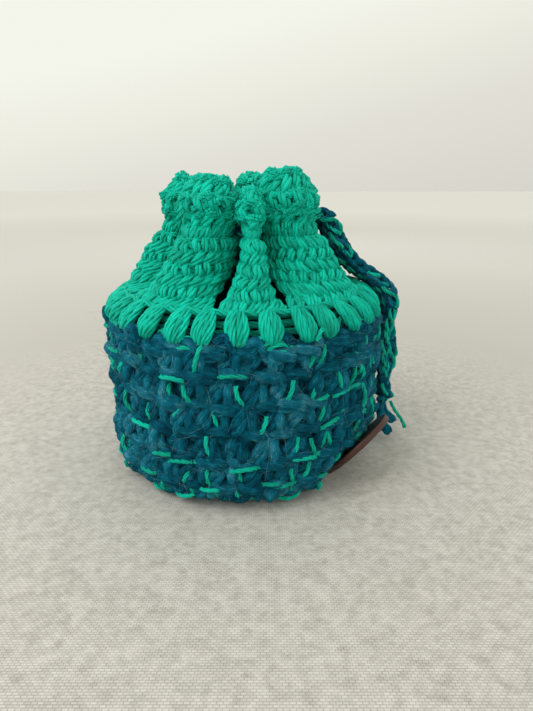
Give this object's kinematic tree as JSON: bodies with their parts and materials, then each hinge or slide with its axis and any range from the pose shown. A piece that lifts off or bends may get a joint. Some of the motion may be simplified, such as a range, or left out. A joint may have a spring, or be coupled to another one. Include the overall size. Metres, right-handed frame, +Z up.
{
  "type": "drawstring dice bag",
  "caption": "Round crocheted pouch: thick wool body, fine cotton collar gathered by a chain-crochet drawstring under a ruffle, with a shell button low on the side.",
  "frame": {"origin": "centre of the foot at the surface that the bag stands on", "axes": "+Z up through the mouth, -Y towards the front of the bag, +X to the side where the drawstring hangs"},
  "size_m": [0.0999, 0.0844, 0.0893],
  "materials": {
    "wool_held_with_cotton": "fuzzy thick wool strand with a thin green cotton strand held along it",
    "green_cotton": "smooth plied cotton with a soft lustre",
    "chain_cord": "chain of one wool and one cotton strand",
    "petrol_wool": "fuzzy wool",
    "coconut_shell": "worn satin with paler rubbed rim"
  },
  "bodies": {
    "bag": {"base_centre": "wool_held_with_cotton", "base_round_2": "wool_held_with_cotton", "base_round_3": "wool_held_with_cotton", "base_round_4": "wool_held_with_cotton", "base_round_5": "wool_held_with_cotton", "wall_round_1": "wool_held_with_cotton", "wall_round_2": "wool_held_with_cotton", "wall_round_3": "wool_held_with_cotton", "wall_round_4": "wool_held_with_cotton", "wall_round_5": "wool_held_with_cotton", "wall_round_6": "wool_held_with_cotton", "puff_stitch_round": "green_cotton"},
    "pleat_1": {"collar_pleat_1": "green_cotton", "eyelet_posts_1": "green_cotton", "ruffle_1": "green_cotton", "drawstring_arc_1": "chain_cord"},
    "pleat_2": {"collar_pleat_2": "green_cotton", "eyelet_posts_2": "green_cotton", "ruffle_2": "green_cotton", "drawstring_arc_2": "chain_cord"},
    "pleat_3": {"collar_pleat_3": "green_cotton", "eyelet_posts_3": "green_cotton", "ruffle_3": "green_cotton", "drawstring_arc_3": "chain_cord"},
    "pleat_4": {"collar_pleat_4": "green_cotton", "eyelet_posts_4": "green_cotton", "ruffle_4": "green_cotton", "drawstring_arc_4": "chain_cord"},
    "pleat_5": {"collar_pleat_5": "green_cotton", "eyelet_posts_5": "green_cotton", "ruffle_5": "green_cotton", "drawstring_arc_5": "chain_cord"},
    "pleat_6": {"collar_pleat_6": "green_cotton", "eyelet_posts_6": "green_cotton", "ruffle_6": "green_cotton", "drawstring_arc_6": "chain_cord"},
    "pleat_7": {"collar_pleat_7": "green_cotton", "eyelet_posts_7": "green_cotton", "ruffle_7": "green_cotton", "drawstring_arc_7": "chain_cord"},
    "drawstring_legs": {"drawstring_leg_a": "chain_cord", "drawstring_leg_b": "chain_cord"},
    "knot": {"drawstring_knot": "chain_cord"},
    "tails": {"wool_tail_a": "petrol_wool", "wool_tail_b": "petrol_wool", "cotton_tail_a": "green_cotton", "cotton_tail_b": "green_cotton"},
    "button": {"button": "coconut_shell", "button_thread": "green_cotton"}
  },
  "joints": [
    {"name": "mouth_open", "type": "hinge", "parent": "bag", "child": "pleat_1", "pos_m": [-0.02019, -0.02883, 0.055], "axis": [0.8192, -0.5736, 0], "range_deg": [0, 14]},
    {"name": "pleat_2_open", "type": "hinge", "parent": "bag", "child": "pleat_2", "pos_m": [0.0049, -0.03486, 0.055], "axis": [0.9903, 0.1392, 0], "range_deg": [0, 14]},
    {"name": "pleat_3_open", "type": "hinge", "parent": "bag", "child": "pleat_3", "pos_m": [0.03048, -0.0176, 0.055], "axis": [0.5, 0.866, 0], "range_deg": [0, 14]},
    {"name": "pleat_4_open", "type": "hinge", "parent": "bag", "child": "pleat_4", "pos_m": [0.02985, 0.01865, 0.055], "axis": [-0.5299, 0.848, 0], "range_deg": [0, 14]},
    {"name": "pleat_5_open", "type": "hinge", "parent": "bag", "child": "pleat_5", "pos_m": [0.00551, 0.03477, 0.055], "axis": [-0.9877, 0.1564, 0], "range_deg": [0, 14]},
    {"name": "pleat_6_open", "type": "hinge", "parent": "bag", "child": "pleat_6", "pos_m": [-0.02309, 0.02657, 0.055], "axis": [-0.7547, -0.6561, 0], "range_deg": [0, 14]},
    {"name": "pleat_7_open", "type": "hinge", "parent": "bag", "child": "pleat_7", "pos_m": [-0.03519, -0.00061, 0.055], "axis": [0.0175, -0.9998, 0], "range_deg": [0, 14]},
    {"name": "drawstring_swing", "type": "hinge", "parent": "bag", "child": "drawstring_legs", "pos_m": [0.01882, 0.00264, 0.076], "axis": [0.1392, -0.9903, 0], "range_deg": [0, 60]},
    {"name": "knot_rise", "type": "slide", "parent": "drawstring_legs", "child": "knot", "axis": [0, 0, 1], "range_m": [0, 0.018], "deforming": ["drawstring_leg_a", "drawstring_leg_b"]},
    {"name": "tail_swing", "type": "hinge", "parent": "knot", "child": "tails", "pos_m": [0.04753, 0.00668, 0.0134], "axis": [0.1392, -0.9903, 0], "range_deg": [0, 20]},
    {"name": "button_twist", "type": "hinge", "parent": "bag", "child": "button", "pos_m": [0.03437, -0.01905, 0.0103], "axis": [0.67, -0.3714, -0.6428], "range_deg": [-20, 20]}
  ],
  "couplings": [
    {"joint": "pleat_2_open", "follows": "mouth_open", "ratio": 1},
    {"joint": "pleat_3_open", "follows": "mouth_open", "ratio": 1},
    {"joint": "pleat_4_open", "follows": "mouth_open", "ratio": 1},
    {"joint": "pleat_5_open", "follows": "mouth_open", "ratio": 1},
    {"joint": "pleat_6_open", "follows": "mouth_open", "ratio": 1},
    {"joint": "pleat_7_open", "follows": "mouth_open", "ratio": 1},
    {"joint": "knot_rise", "follows": "mouth_open", "m_per_rad": 0.0735}
  ]
}
